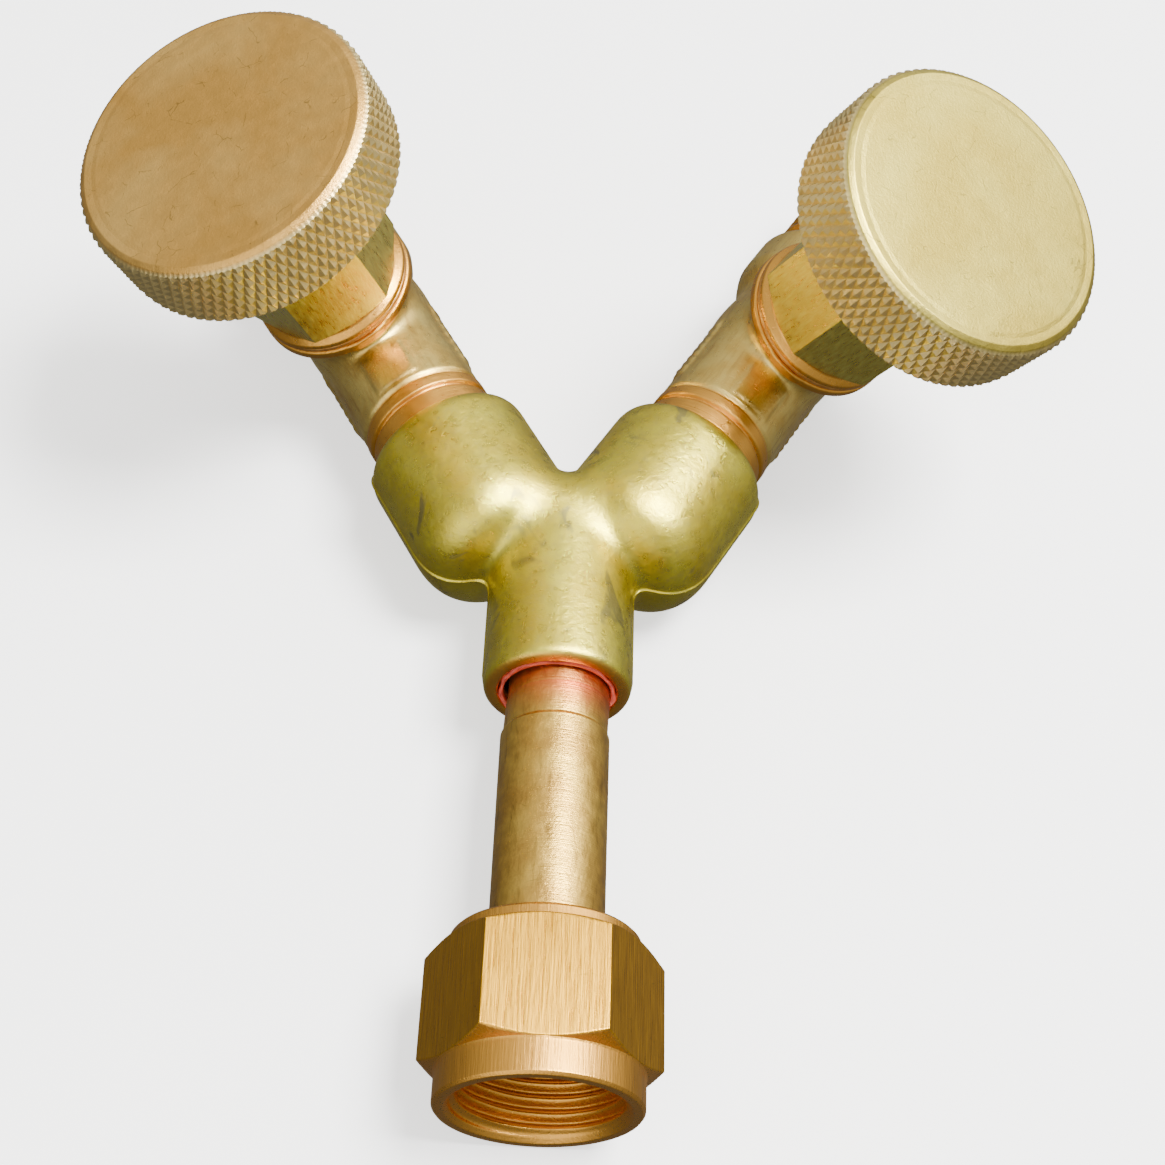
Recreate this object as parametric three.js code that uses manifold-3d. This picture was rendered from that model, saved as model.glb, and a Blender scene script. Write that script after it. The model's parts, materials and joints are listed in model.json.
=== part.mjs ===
// Brass Y hose splitter: a loose swivel inlet nut on a nipple, a forged wye, and a hand valve on
// each leg. Millimetres, +Z up. The splitter lies on its back with the knobs up: +Y runs from the
// inlet towards the fork, +X is the right leg's side.
//
// While it is being built the origin is the middle of the inlet nut's open end. The last lines move
// it to the middle of the underside of the whole splitter's box.

import * as THREE from 'three';
import { mergeVertices } from 'three/addons/utils/BufferGeometryUtils.js';
import Module from 'manifold-3d';

const wasm = await Module();
wasm.setup();

// ---------------------------------------------------------------------------------------------
// Driving dimensions
// ---------------------------------------------------------------------------------------------

const GAP = 0.3; // clearance between neighbouring pieces
const EDGE = 0.3; // small chamfer that breaks a turned corner
const OVERRUN = 1; // how far a cutting shape runs past the face that it cuts
const ROUND = 30; // facets round a large turned shape
const FINE_ROUND = 16; // facets round a small one
const KNOB_ROUND = 40; // facets round a knob

// Standard threads, as radii over the crests
const UNF_5_8_MALE = 7.94; // 5/8-18 UNF, outlets
const UNF_5_8_FEMALE = 7.3; // 5/8-18 UNF, inlet nut, over its own crests
const NPT_1_8_MALE = 5.15; // 1/8 NPT, nipple into the wye
const NPT_1_4_MALE = 6.85; // 1/4 NPT, valves into the wye
const STEM_THREAD = 3.97; // 5/16-24 UNF, stem into the bonnet

// Inlet nut and nipple, measured along Y from the nut's open end
const NUT = {
  acrossFlats: 19.05, length: 15.9, hexFrom: 3.2, hexTo: 14.7, collar: 9.4, mouth: 8.34, back: 8.9,
};
const NUT_BORE_END = 11.4; // where the thread stops at the shoulder that pulls the nipple in
const NIPPLE = { tube: 5.42, bore: 2.4, nose: 4.5, head: 6.7, headFrom: 8.0, neckFrom: 37.8, end: 50.2 };
const NOSE = { tip: 4.2, round: 1.6 }; // the nipple's seating nose
const SEALANT = { width: 0.55, from: 42.85, length: 0.9 };

// Wye, legs measured from where the three axes cross
const FORK_Y = 50.4; // the axes cross here
const FORK_HALF_ANGLE = 30; // degrees between each leg and the inlet line
const STEM_SOCKET = { radius: 7.5, from: 42.8, edge: 1.2, counterbore: 6.3, counterboreDepth: 1.25 };
const LEG = { radius: 9.2, from: 9.6, to: 27.4, socketFrom: 15.5, heelRound: 5.5, endRound: 2 };
const CROTCH_RADIUS = 0.9; // fillet between the legs
const GAS_WAY = 3.0; // radius of the drilled ways

// Valves: how far along its leg each knob axis is, and how far the valve is rolled about its leg
const VALVES = {
  left: { axisAt: 47, roll: -23.5, legAngle: FORK_HALF_ANGLE, bonnetClock: 28 },
  right: { axisAt: 47, roll: 28.9, legAngle: -FORK_HALF_ANGLE, bonnetClock: -5 },
};

// Valve body, along its leg from the knob axis and up that axis from the leg's axis
const BODY = {
  radius: 7.15, inletEnd: -30.4, shoulder: 8.9, outletEnd: 30.4, boss: 8.95, bossTop: 10.0, bossRoot: 7.0,
};
const SPOT_FACE = 9.4; // radius cleared above the boss for the bonnet's flange
const CHAMBER = { radius: 5.9, floor: 0.6, seat: 1.2, orifice: 2.0 };
const OUTLET_MOUTH = { face: 5.6, bore: 4.4, coneDepth: 3.0, boreDepth: 9.0 };
const WAY_IN = { radius: 2.1, height: -2.9 };
// The way out climbs by tilt radians from the mouth's axis into the chamber
const WAY_OUT = { radius: 1.8, length: 19, tilt: 0.14, from: 4, height: 2.75 };

// Bonnet, stem, seat and knob, up the knob axis from the leg's axis
const BONNET = {
  acrossFlats: 16.0, hexFrom: 12.0, top: 25.2, neck: 8.0,
  skirt: 5.6, skirtFrom: 6.2, flange: 8.75, flangeTop: 11.4,
};
const GASKET = { from: 10.3, thickness: 0.3, radius: 8.6 };
const STEM = { rod: 3.2, top: 33.8, threadFrom: 9.6, threadTo: 14.8, neck: 1.5, groove: 2.0 };
const STEM_END = 2.7; // radius of the end pressed into the knob
const BUTTON = { radius: 2.3, from: 6.7, top: 7.7 }; // the stem's foot, held in the seat holder
const STEM_SHOULDER = 17.8; // where the bonnet narrows from the stem thread to the O-rings
const BONNET_BORE_TOP = 12.0; // where it narrows from the seat holder's bore to the stem thread
const O_RINGS = { lower: 18.9, upper: 21.2, section: 0.95 };
const HOLDER = { radius: 4.3, from: 2.2, top: 9.1, discPocket: 3.5 };
const SEAT_DISC = { radius: 3.2, from: CHAMBER.seat + GAP, thickness: 1.4 };
const KNOB = { radius: 16.0, face: 14.75, from: 28.4, top: 37.0, hub: 6.0, hubFrom: 26.8 };
const KNOB_RECESS = { inner: 7.2, outer: 12.6, top: 31.8 };

// ---------------------------------------------------------------------------------------------
// Materials
// ---------------------------------------------------------------------------------------------

const brass = (color, roughness) => new THREE.MeshStandardMaterial({ color, roughness, metalness: 1 });
const forgedBrass = () => brass(0xb3a15c, 0.42);
const satinBrass = () => brass(0xb99457, 0.34);
const turnedBrass = () => brass(0xc79a66, 0.25);
const barBrass = () => brass(0xb08a3e, 0.38);
const soft = (color) => new THREE.MeshStandardMaterial({ color, roughness: 0.6, metalness: 0 });

// ---------------------------------------------------------------------------------------------
// Shape helpers
// ---------------------------------------------------------------------------------------------

// A closed geometry as a manifold-3d solid
function solid(geometry) {
  const bare = geometry.clone();
  bare.deleteAttribute('normal');
  bare.deleteAttribute('uv');
  const merged = mergeVertices(bare, 1e-4);
  const corners = Array.from(merged.index.array);
  const faces = [];
  for (let i = 0; i < corners.length; i += 3) {
    const [a, b, c] = corners.slice(i, i + 3);
    if (a !== b && b !== c && c !== a) faces.push(a, b, c);
  }
  const vertProperties = new Float32Array(merged.attributes.position.array);
  const triVerts = new Uint32Array(faces);
  return new wasm.Manifold(new wasm.Mesh({ numProp: 3, vertProperties, triVerts }));
}

// A manifold-3d solid as a geometry
function geometryOf(shape) {
  const mesh = shape.getMesh();
  const geometry = new THREE.BufferGeometry();
  geometry.setAttribute('position', new THREE.BufferAttribute(new Float32Array(mesh.vertProperties), 3));
  geometry.setIndex(new THREE.BufferAttribute(new Uint32Array(mesh.triVerts), 1));
  geometry.computeVertexNormals();
  return geometry;
}

// A shape turned about Y. Its profile of [radius, height] points runs up the outside.
function turned(profile, facets = ROUND) {
  const points = profile.map(([radius, height]) => new THREE.Vector2(radius, height));
  return new THREE.LatheGeometry(points, facets);
}

// The same, turned about Z
const turnedUp = (profile, facets) => turned(profile, facets).rotateX(Math.PI / 2);

// A turned profile with a hole along its axis closes on itself
const ring = (profile) => [...profile, profile[0]];

// A plain rod along Y, used to drill
const rod = (radius, from, to, facets = FINE_ROUND) =>
  turned([[0, from], [radius, from], [radius, to], [0, to]], facets);

// Points of a quarter-round edge in a profile
function edgeArc(radius, height, r, startAngle, steps = 3) {
  const points = [];
  for (let i = 0; i <= steps; i += 1) {
    const angle = THREE.MathUtils.degToRad(startAngle + (90 * i) / steps);
    points.push([radius + r * Math.cos(angle), height + r * Math.sin(angle)]);
  }
  return points;
}

// A six-sided bar along Z with two flats square to X, or turned by clock degrees
function hexBar(acrossFlats, from, to, clock = 0) {
  const corner = acrossFlats / 2 / Math.cos(Math.PI / 6);
  const outline = new THREE.Shape();
  for (let i = 0; i < 6; i += 1) {
    const angle = THREE.MathUtils.degToRad(60 * i + 30 + clock);
    const point = [corner * Math.cos(angle), corner * Math.sin(angle)];
    if (i === 0) outline.moveTo(...point);
    else outline.lineTo(...point);
  }
  outline.closePath();
  const depth = to - from;
  return new THREE.ExtrudeGeometry(outline, { depth, bevelEnabled: false }).translate(0, 0, from);
}

function piece(name, geometry, material, parent) {
  const mesh = new THREE.Mesh(geometry, material);
  mesh.name = name;
  parent.add(mesh);
  return mesh;
}

// ---------------------------------------------------------------------------------------------
// Inlet
// ---------------------------------------------------------------------------------------------

// Hexagonal swivel nut: chamfered hex, a round collar at each end, 5/8-18 thread, back shoulder
function inletNut() {
  const corner = NUT.acrossFlats / 2 / Math.cos(Math.PI / 6);
  const flat = NUT.acrossFlats / 2;
  const chamferRise = (corner - flat) * Math.tan(Math.PI / 6) + 0.6;
  const outside = solid(turned([
    [0, 0], [NUT.collar - EDGE, 0], [NUT.collar, EDGE], [NUT.collar, NUT.hexFrom], [flat, NUT.hexFrom + 0.1],
    [corner, NUT.hexFrom + chamferRise], [corner, NUT.hexTo - chamferRise], [flat, NUT.hexTo - 0.1],
    [NUT.back, NUT.hexTo], [NUT.back, NUT.length - EDGE], [NUT.back - EDGE, NUT.length], [0, NUT.length],
  ]));
  const hex = solid(hexBar(NUT.acrossFlats, 0, NUT.length, 30).rotateX(-Math.PI / 2));
  const countersink = NUT.mouth - UNF_5_8_FEMALE;
  const hole = solid(turned([
    [0, -OVERRUN], [NUT.mouth + OVERRUN, -OVERRUN], [NUT.mouth, 0], [UNF_5_8_FEMALE, countersink],
    [UNF_5_8_FEMALE, NUT_BORE_END], [NIPPLE.tube + GAP, NUT_BORE_END],
    [NIPPLE.tube + GAP, NUT.length + OVERRUN], [0, NUT.length + OVERRUN],
  ]));
  return geometryOf(outside.intersect(hex).subtract(hole));
}

// Nipple: seating nose and head held by the nut, plain tube, 1/8 NPT end in the wye
function inletNipple() {
  const neck = NPT_1_8_MALE;
  return turned(ring([
    [NIPPLE.bore, NIPPLE.nose],
    ...edgeArc(NOSE.tip - NOSE.round, NIPPLE.nose + NOSE.round, NOSE.round, -90),
    [NIPPLE.head, NIPPLE.headFrom], [NIPPLE.head, NUT_BORE_END - GAP], [NIPPLE.tube, NUT_BORE_END - GAP],
    [NIPPLE.tube, NIPPLE.neckFrom - EDGE], [neck, NIPPLE.neckFrom], [neck, NIPPLE.end - EDGE],
    [neck - EDGE, NIPPLE.end], [NIPPLE.bore, NIPPLE.end],
  ]));
}

// Ring of set thread sealant squeezed out round the nipple in the wye's mouth
function threadSealant() {
  const inner = NPT_1_8_MALE + GAP;
  const outer = inner + SEALANT.width;
  const { from } = SEALANT;
  const to = from + SEALANT.length;
  return turned(ring([[outer, from + 0.2], [outer, to], [inner, to], [inner, from]]));
}

// ---------------------------------------------------------------------------------------------
// Wye
// ---------------------------------------------------------------------------------------------

const alongLeg = (geometry, legAngle) =>
  geometry.rotateZ(THREE.MathUtils.degToRad(legAngle)).translate(0, FORK_Y, 0);

// Web that fills the fork between the legs up to a round fillet
function crotchWeb() {
  const half = THREE.MathUtils.degToRad(FORK_HALF_ANGLE);
  const centreY = FORK_Y + (LEG.radius + CROTCH_RADIUS) / Math.sin(half);
  const inset = 0.4; // the web's edge stays this far inside the legs
  const touchX = CROTCH_RADIUS * Math.cos(half) + inset;
  const touchY = centreY - CROTCH_RADIUS * Math.sin(half);
  const steps = 8;
  const depth = 8;
  const outline = new THREE.Shape();
  outline.moveTo(0, FORK_Y + 6);
  outline.lineTo(touchX, touchY);
  for (let i = 1; i < steps; i += 1) {
    const angle = -half - ((Math.PI - 2 * half) * i) / steps;
    outline.lineTo(CROTCH_RADIUS * Math.cos(angle), centreY + CROTCH_RADIUS * Math.sin(angle));
  }
  outline.lineTo(-touchX, touchY);
  outline.closePath();
  return new THREE.ExtrudeGeometry(outline, { depth, bevelEnabled: false }).translate(0, 0, -depth / 2);
}

function wyeBody() {
  const legProfile = [
    [0, LEG.from], ...edgeArc(LEG.radius - LEG.heelRound, LEG.from + LEG.heelRound, LEG.heelRound, -90, 4),
    ...edgeArc(LEG.radius - LEG.endRound, LEG.to - LEG.endRound, LEG.endRound, 0), [0, LEG.to],
  ];
  const socket = rod(NPT_1_4_MALE + GAP, LEG.socketFrom, LEG.to + OVERRUN, ROUND);
  const gasWay = rod(GAS_WAY, -OVERRUN, LEG.socketFrom + OVERRUN);
  const { radius, from, edge, counterbore, counterboreDepth } = STEM_SOCKET;
  const stemProfile = [
    [0, from], ...edgeArc(radius - edge, from + edge, edge, -90), [radius, FORK_Y + 9], [0, FORK_Y + 15],
  ];
  const mouth = NPT_1_8_MALE + GAP;
  const counterboreTo = from + counterboreDepth;
  const stemSocket = [
    [0, from - OVERRUN], [counterbore, from - OVERRUN], [counterbore, counterboreTo],
    [mouth, counterboreTo + 0.05], [mouth, NIPPLE.end + GAP], [GAS_WAY, NIPPLE.end + GAP + 1.5],
    [0, FORK_Y + 2],
  ];
  const angles = Object.values(VALVES).map(({ legAngle }) => legAngle);
  let body = solid(turned(stemProfile)).add(solid(crotchWeb()));
  for (const angle of angles) {
    body = body.add(solid(alongLeg(turned(legProfile), angle)));
  }
  for (const angle of angles) {
    body = body.subtract(solid(alongLeg(socket.clone(), angle)));
    body = body.subtract(solid(alongLeg(gasWay.clone(), angle)));
  }
  return geometryOf(body.subtract(solid(turned(stemSocket))));
}

// ---------------------------------------------------------------------------------------------
// Valve, with its leg along Y and its knob axis along Z, both through the origin
// ---------------------------------------------------------------------------------------------

function valveBody() {
  const outer = [
    [0, BODY.inletEnd], [NPT_1_4_MALE - 0.6, BODY.inletEnd], [NPT_1_4_MALE, BODY.inletEnd + 0.9],
    [NPT_1_4_MALE, -19.2], [BODY.radius, -18.8], [BODY.radius, 4.4], [7.6, 5.2], [8.4, 5.9],
    [BODY.shoulder, 7.0], [BODY.shoulder, 12.2], [8.4, 12.9], [6.9, 13.2], [6.9, 14.2], [UNF_5_8_MALE, 15.2],
    [UNF_5_8_MALE, BODY.outletEnd - 0.8], [UNF_5_8_MALE - 0.7, BODY.outletEnd], [0, BODY.outletEnd],
  ];
  const boss = [
    [0, -2], [BODY.bossRoot, -2], [BODY.bossRoot, BODY.bossTop - 4.4], [7.6, BODY.bossTop - 2.4],
    [BODY.boss, BODY.bossTop - 1.2],
    [BODY.boss, BODY.bossTop - EDGE], [BODY.boss - EDGE, BODY.bossTop], [0, BODY.bossTop],
  ];
  const seatEdge = CHAMBER.orifice + 0.9;
  const chamber = [
    [0, CHAMBER.seat], [seatEdge, CHAMBER.seat], [seatEdge + 0.4, CHAMBER.floor],
    [CHAMBER.radius, CHAMBER.floor], [CHAMBER.radius, BODY.bossTop], [SPOT_FACE, BODY.bossTop],
    [SPOT_FACE, BODY.bossTop + 3], [0, BODY.bossTop + 3],
  ];
  const coneFrom = BODY.outletEnd - OUTLET_MOUTH.coneDepth;
  const boreFrom = BODY.outletEnd - OUTLET_MOUTH.boreDepth;
  const mouth = [
    [0, boreFrom - 2], [OUTLET_MOUTH.bore, boreFrom], [OUTLET_MOUTH.bore, coneFrom],
    [OUTLET_MOUTH.face, BODY.outletEnd], [OUTLET_MOUTH.face, BODY.outletEnd + OVERRUN],
    [0, BODY.outletEnd + OVERRUN],
  ];
  const wayIn = rod(WAY_IN.radius, BODY.inletEnd - OVERRUN, CHAMBER.orifice).translate(0, 0, WAY_IN.height);
  const orifice = turnedUp([[0, -3], [CHAMBER.orifice, -3], [CHAMBER.orifice, 3], [0, 3]], FINE_ROUND);
  const wayOut = rod(WAY_OUT.radius, 0, WAY_OUT.length).rotateX(-WAY_OUT.tilt);
  wayOut.translate(0, WAY_OUT.from, WAY_OUT.height);
  let body = solid(turned(outer)).add(solid(turnedUp(boss)));
  for (const hole of [turnedUp(chamber), turned(mouth), wayIn, orifice, wayOut]) {
    body = body.subtract(solid(hole));
  }
  return geometryOf(body);
}

// Hexagonal bonnet: threaded skirt in the body, sealing flange, stem thread and O-ring bore inside
function bonnet(clock) {
  const corner = BONNET.acrossFlats / 2 / Math.cos(Math.PI / 6);
  const chamferRise = (corner - BONNET.acrossFlats / 2) * Math.tan(Math.PI / 6);
  const flangeFrom = GASKET.from + GASKET.thickness + GAP;
  const outside = solid(turnedUp([
    [0, BONNET.skirtFrom], [BONNET.skirt - EDGE, BONNET.skirtFrom], [BONNET.skirt, BONNET.skirtFrom + EDGE],
    [BONNET.skirt, flangeFrom], [BONNET.flange, flangeFrom], [BONNET.flange, BONNET.flangeTop],
    [BONNET.neck, BONNET.flangeTop + 0.1], [BONNET.neck, BONNET.hexFrom],
    [corner, BONNET.hexFrom + chamferRise], [corner, BONNET.top - 1], [corner - 1.9, BONNET.top],
    [0, BONNET.top],
  ]));
  const roundTo = BONNET.hexFrom - 0.1;
  const hex = solid(hexBar(BONNET.acrossFlats, roundTo, BONNET.top + OVERRUN, clock));
  const roundPart = solid(turnedUp([[0, 0], [12, 0], [12, roundTo + 0.01], [0, roundTo + 0.01]]));
  const hole = solid(turnedUp([
    [0, 0], [HOLDER.radius + GAP, 0], [HOLDER.radius + GAP, BONNET_BORE_TOP],
    [STEM_THREAD + GAP, BONNET_BORE_TOP + EDGE], [STEM_THREAD + GAP, STEM_SHOULDER],
    [STEM.rod + GAP, STEM_SHOULDER + EDGE], [STEM.rod + GAP, BONNET.top + OVERRUN], [0, BONNET.top + OVERRUN],
  ], FINE_ROUND));
  return geometryOf(outside.intersect(hex.add(roundPart)).subtract(hole));
}

// Washer that seals the bonnet on the boss
function bonnetGasket() {
  const inner = CHAMBER.radius + 0.2;
  const top = GASKET.from + GASKET.thickness;
  const outer = GASKET.radius;
  return turnedUp(ring([[outer, GASKET.from], [outer, top], [inner, top], [inner, GASKET.from]]));
}

// Stem: button caught in the seat holder, thread, two O-ring grooves, plain end in the knob
function stem() {
  const endFrom = KNOB.hubFrom - GAP;
  const grooveHalf = O_RINGS.section / 2 + 0.25;
  const groove = (height) => [
    [STEM.rod, height - grooveHalf], [STEM.groove, height - grooveHalf],
    [STEM.groove, height + grooveHalf], [STEM.rod, height + grooveHalf],
  ];
  return turnedUp([
    [0, BUTTON.from], [BUTTON.radius, BUTTON.from], [BUTTON.radius, BUTTON.top], [STEM.neck, BUTTON.top],
    [STEM.neck, STEM.threadFrom], [STEM_THREAD - 0.5, STEM.threadFrom], [STEM_THREAD, STEM.threadFrom + 0.5],
    [STEM_THREAD, STEM.threadTo - 0.5], [STEM.rod, STEM.threadTo], ...groove(O_RINGS.lower),
    ...groove(O_RINGS.upper), [STEM.rod, endFrom], [STEM_END, endFrom], [STEM_END, STEM.top - EDGE],
    [STEM_END - EDGE, STEM.top], [0, STEM.top],
  ], FINE_ROUND);
}

function oRing(height) {
  const centre = (STEM.groove + STEM.rod + GAP) / 2;
  return new THREE.TorusGeometry(centre, O_RINGS.section / 2, 6, FINE_ROUND).translate(0, 0, height);
}

// Cup that carries the seat disc and grips the stem's button without turning
function seatHolder() {
  const discTop = SEAT_DISC.from + SEAT_DISC.thickness + GAP;
  const pocketTop = BUTTON.top + GAP;
  const pocketFloor = BUTTON.from - GAP;
  const vent = 1.2; // radius of the hole between the two pockets
  return turnedUp(ring([
    [HOLDER.radius - EDGE, HOLDER.from], [HOLDER.radius, HOLDER.from + EDGE],
    [HOLDER.radius, HOLDER.top - EDGE], [HOLDER.radius - EDGE, HOLDER.top], [STEM.neck + GAP, HOLDER.top],
    [STEM.neck + GAP, pocketTop], [BUTTON.radius + GAP, pocketTop], [BUTTON.radius + GAP, pocketFloor],
    [vent, pocketFloor], [vent, discTop], [HOLDER.discPocket, discTop], [HOLDER.discPocket, HOLDER.from],
  ]), FINE_ROUND);
}

function seatDisc() {
  const { radius, from, thickness } = SEAT_DISC;
  const top = from + thickness;
  return turnedUp([[0, from], [radius, from], [radius, top], [0, top]], FINE_ROUND);
}

// Knob: flat face with a narrow chamfer, straight rim, hub and ring-shaped recess underneath
function knob() {
  const bore = STEM_END + GAP;
  const chamfer = KNOB.radius - KNOB.face;
  const lowerEdge = 0.3;
  return turnedUp([
    [0, STEM.top + GAP], [bore, STEM.top + GAP], [bore, KNOB.hubFrom], [KNOB.hub, KNOB.hubFrom],
    [KNOB.hub, KNOB.from + 1], [KNOB_RECESS.inner, KNOB_RECESS.top], [KNOB_RECESS.outer, KNOB_RECESS.top],
    [KNOB_RECESS.outer + 0.6, KNOB.from], [KNOB.radius - lowerEdge, KNOB.from],
    [KNOB.radius, KNOB.from + lowerEdge], [KNOB.radius, KNOB.top - chamfer], [KNOB.face, KNOB.top],
    [0, KNOB.top],
  ], KNOB_ROUND);
}

// One valve screwed into a leg of the wye
function addValve(side, parent) {
  const { axisAt, roll, legAngle, bonnetClock } = VALVES[side];
  const leg = new THREE.Group();
  leg.position.set(0, FORK_Y, 0);
  leg.rotation.z = THREE.MathUtils.degToRad(legAngle);
  const valve = new THREE.Group();
  valve.position.set(0, axisAt, 0);
  valve.rotation.y = THREE.MathUtils.degToRad(roll);
  leg.add(valve);
  parent.add(leg);
  piece(`${side}_valve_body`, valveBody(), satinBrass(), valve);
  piece(`${side}_bonnet`, bonnet(bonnetClock), barBrass(), valve);
  piece(`${side}_bonnet_gasket`, bonnetGasket(), brass(0xb87850, 0.4), valve);
  piece(`${side}_stem`, stem(), turnedBrass(), valve);
  piece(`${side}_stem_o_ring_lower`, oRing(O_RINGS.lower), soft(0x1c1c1c), valve);
  piece(`${side}_stem_o_ring_upper`, oRing(O_RINGS.upper), soft(0x1c1c1c), valve);
  piece(`${side}_seat_holder`, seatHolder(), turnedBrass(), valve);
  piece(`${side}_seat_disc`, seatDisc(), soft(0xe9e6da), valve);
  piece(`${side}_knob`, knob(), satinBrass(), valve);
}

// ---------------------------------------------------------------------------------------------
// Assembly
// ---------------------------------------------------------------------------------------------

const splitter = new THREE.Group();
piece('inlet_nut', inletNut(), barBrass(), splitter);
piece('inlet_nipple', inletNipple(), satinBrass(), splitter);
piece('inlet_thread_sealant', threadSealant(), soft(0xb4472e), splitter);
piece('wye_body', wyeBody(), forgedBrass(), splitter);
for (const side of Object.keys(VALVES)) addValve(side, splitter);

splitter.updateMatrixWorld(true);
const extent = new THREE.Box3().setFromObject(splitter, true);
splitter.position.set(
  -(extent.min.x + extent.max.x) / 2,
  -(extent.min.y + extent.max.y) / 2,
  -extent.min.z,
);

export default splitter;
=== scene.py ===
import json
import math

import bmesh
import bpy
import numpy as np
from mathutils import Matrix, Vector


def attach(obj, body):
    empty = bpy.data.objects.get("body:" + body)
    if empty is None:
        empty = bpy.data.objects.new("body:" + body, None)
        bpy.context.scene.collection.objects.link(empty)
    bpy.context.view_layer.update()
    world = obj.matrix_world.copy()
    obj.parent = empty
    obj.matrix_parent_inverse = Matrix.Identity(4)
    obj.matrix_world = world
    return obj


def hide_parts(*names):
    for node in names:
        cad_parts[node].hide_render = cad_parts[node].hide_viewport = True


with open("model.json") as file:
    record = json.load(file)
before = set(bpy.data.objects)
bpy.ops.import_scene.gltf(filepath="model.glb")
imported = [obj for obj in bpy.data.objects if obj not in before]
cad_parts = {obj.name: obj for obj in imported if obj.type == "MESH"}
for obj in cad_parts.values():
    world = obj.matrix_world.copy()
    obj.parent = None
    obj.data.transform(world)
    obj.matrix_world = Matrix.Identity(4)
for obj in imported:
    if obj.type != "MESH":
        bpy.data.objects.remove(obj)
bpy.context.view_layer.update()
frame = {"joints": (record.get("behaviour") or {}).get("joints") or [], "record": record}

MM = 0.001
SIDES = ("left", "right")
TAU = 2 * math.pi

# ---------------------------------------------------------------------------------------------
# Dimensions in millimetres, the same as the frame's
# ---------------------------------------------------------------------------------------------

UNF_PITCH = 25.4 / 18
UNF_DEPTH = 0.76
STEM_PITCH = 25.4 / 24
NPT_PITCH = 25.4 / 27
FORK_HALF_ANGLE = math.radians(30)
NUT_FLATS = 19.05
BONNET_FLATS = 16.0
BONNET_CLOCK = {"left": math.radians(28), "right": math.radians(-5)}
KNOB_RADIUS = 16.0
KNOB_BOTTOM = 28.4
KNOB_FACE = 14.75
KNURL_TEETH = 84
KNURL_STEPS = 8  # columns to a tooth, and rows to a pyramid's height
KNURL_PERIOD = 2.45
KNURL_DEPTH = 0.42
KNOB_TURN_HEIGHT = 26  # the knob joint's point is this far up the knob axis
NUT_JOINT_HEIGHT = 8  # and the nut joint's this far inside the nut's mouth
O_RING_HEIGHTS = {"lower": 18.9, "upper": 21.2}
MERGE_DISTANCE = 1e-8  # metres
SHORTEST_EDGE = 1e-9  # metres
BUMP_DEPTH = 0.12

# ---------------------------------------------------------------------------------------------
# Local frames, from the record's joints and mounts
# ---------------------------------------------------------------------------------------------

joints = {joint["name"]: joint for joint in frame["joints"]}
mounts = {mount["name"]: mount for mount in frame["record"]["mounts"]}


def placed(origin, x, y, z):
    """The matrix that takes a point in a local frame to the row frame"""
    return Matrix.Translation(origin) @ Matrix((x, y, z)).transposed().to_4x4()


nut_mouth = Vector(joints["inlet_nut_spin"]["pos_m"]) - Vector((0, NUT_JOINT_HEIGHT * MM, 0))
inlet_frame = placed(nut_mouth, Vector((1, 0, 0)), Vector((0, 0, -1)), Vector((0, 1, 0)))

valve_frames = {}
for side in SIDES:
    knob_joint = joints[side + "_knob_turn"]
    up = Vector(knob_joint["axis"]).normalized()
    along = Vector(mounts[side + "_outlet_face"]["axis"]).normalized()
    centre = Vector(knob_joint["pos_m"]) - up * KNOB_TURN_HEIGHT * MM
    valve_frames[side] = placed(centre, along.cross(up), along, up)

left_leg = valve_frames["left"].col[1].to_3d()
left_centre = valve_frames["left"].translation
to_crossing = (nut_mouth.x - left_centre.x) / left_leg.x
fork_frame = Matrix.Translation(left_centre + left_leg * to_crossing)

# ---------------------------------------------------------------------------------------------
# Turned shapes: a profile of (radius, height) points swept round the local Z axis
# ---------------------------------------------------------------------------------------------


def smooth_min(a, b, blend):
    """The smaller of two fields, with the crease between them rounded over"""
    share = np.clip(0.5 + 0.5 * (b - a) / blend, 0, 1)
    return b + (a - b) * share - blend * share * (1 - share)


def smooth_max(a, b, blend):
    return -smooth_min(-a, -b, blend)


def rounded(profile, fillet=0.15, closed=False, steps=4):
    """A profile with its corners rounded. A point may carry a fillet of its own as a third number."""
    points = [tuple(point) if len(point) == 3 else (*point, fillet) for point in profile]
    result = []
    for i, (radius, height, size) in enumerate(points):
        here = np.array((radius, height))
        before = np.array(points[i - 1][:2]) - here
        after = np.array(points[(i + 1) % len(points)][:2]) - here
        if not closed and i in (0, len(points) - 1):
            result.append(here)
            continue
        before_length, after_length = np.linalg.norm(before), np.linalg.norm(after)
        cosine = np.clip(before @ after / before_length / after_length, -1, 1)
        half_angle = math.acos(cosine) / 2
        cut = min(size / math.tan(half_angle), 0.45 * before_length, 0.45 * after_length)
        start = here + before / before_length * cut
        end = here + after / after_length * cut
        for t in np.linspace(0, 1, steps + 1):
            result.append((1 - t) ** 2 * start + 2 * t * (1 - t) * here + t * t * end)
    return np.array(result)


def divided(points, spacing, low=-1e9, high=1e9):
    """The same profile with its segments between two heights split to at most spacing"""
    result = []
    for start, end in zip(points[:-1], points[1:]):
        middle = (start[1] + end[1]) / 2
        parts = math.ceil(np.linalg.norm(end - start) / spacing) if low < middle < high else 1
        for t in np.arange(parts) / parts:
            result.append(start + (end - start) * t)
    result.append(points[-1])
    return np.array(result)


def even_angles(count):
    return np.arange(count) * TAU / count


def hexagon_angles(clock):
    """Columns for a six-sided piece, close together at its corners"""
    flat = np.linspace(-27, 27, 25)
    corner = np.array([28, 28.8, 29.4, 29.75, 30])
    side = np.radians(np.concatenate([-corner[:-1][::-1], flat, corner]))
    return np.concatenate([side + clock + i * TAU / 6 for i in range(6)])


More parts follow.
